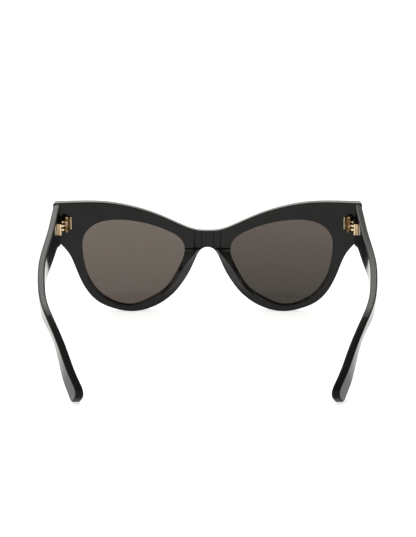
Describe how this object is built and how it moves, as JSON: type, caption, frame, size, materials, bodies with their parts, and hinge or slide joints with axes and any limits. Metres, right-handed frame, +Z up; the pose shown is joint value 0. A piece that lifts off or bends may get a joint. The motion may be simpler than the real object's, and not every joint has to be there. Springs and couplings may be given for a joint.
{
  "type": "cat eye sunglasses",
  "caption": "Cat eye sunglasses with a swept black acetate front, tinted lenses and temples that fold on gold barrel hinges.",
  "frame": {"origin": "centre of the bounding box in x and y, on the table that the rims and temple tips rest on", "axes": "+X to the wearer's right, +Y the way the wearer looks, +Z up"},
  "size_m": [0.1508, 0.1254, 0.0555],
  "materials": {
    "black_acetate": "polished black acetate",
    "pad_acetate": "polished black acetate, cemented on",
    "tinted_lens": "brown-grey see-through tint",
    "gold_plate": "polished pale gold",
    "screw_metal": "turned and plated",
    "core_metal": "drawn wire"
  },
  "bodies": {
    "front": {"front_frame": "black_acetate", "lens_left": "tinted_lens", "lens_right": "tinted_lens", "nose_pad_left": "pad_acetate", "nose_pad_right": "pad_acetate", "hinge_front_left": "gold_plate", "hinge_front_right": "gold_plate", "hinge_screw_left": "screw_metal", "hinge_screw_right": "screw_metal"},
    "temple_left": {"temple_left": "black_acetate", "hinge_temple_left": "gold_plate", "core_wire_left": "core_metal"},
    "temple_right": {"temple_right": "black_acetate", "hinge_temple_right": "gold_plate", "core_wire_right": "core_metal"}
  },
  "joints": [
    {"name": "temple_left_fold", "type": "hinge", "parent": "front", "child": "temple_left", "pos_m": [-0.0668, 0.04936, 0.04567], "axis": [0, 0.0498, 0.9988], "range_deg": [0, 84]},
    {"name": "temple_right_fold", "type": "hinge", "parent": "front", "child": "temple_right", "pos_m": [0.0668, 0.04936, 0.04567], "axis": [0, -0.0498, -0.9988], "range_deg": [0, 78]}
  ]
}
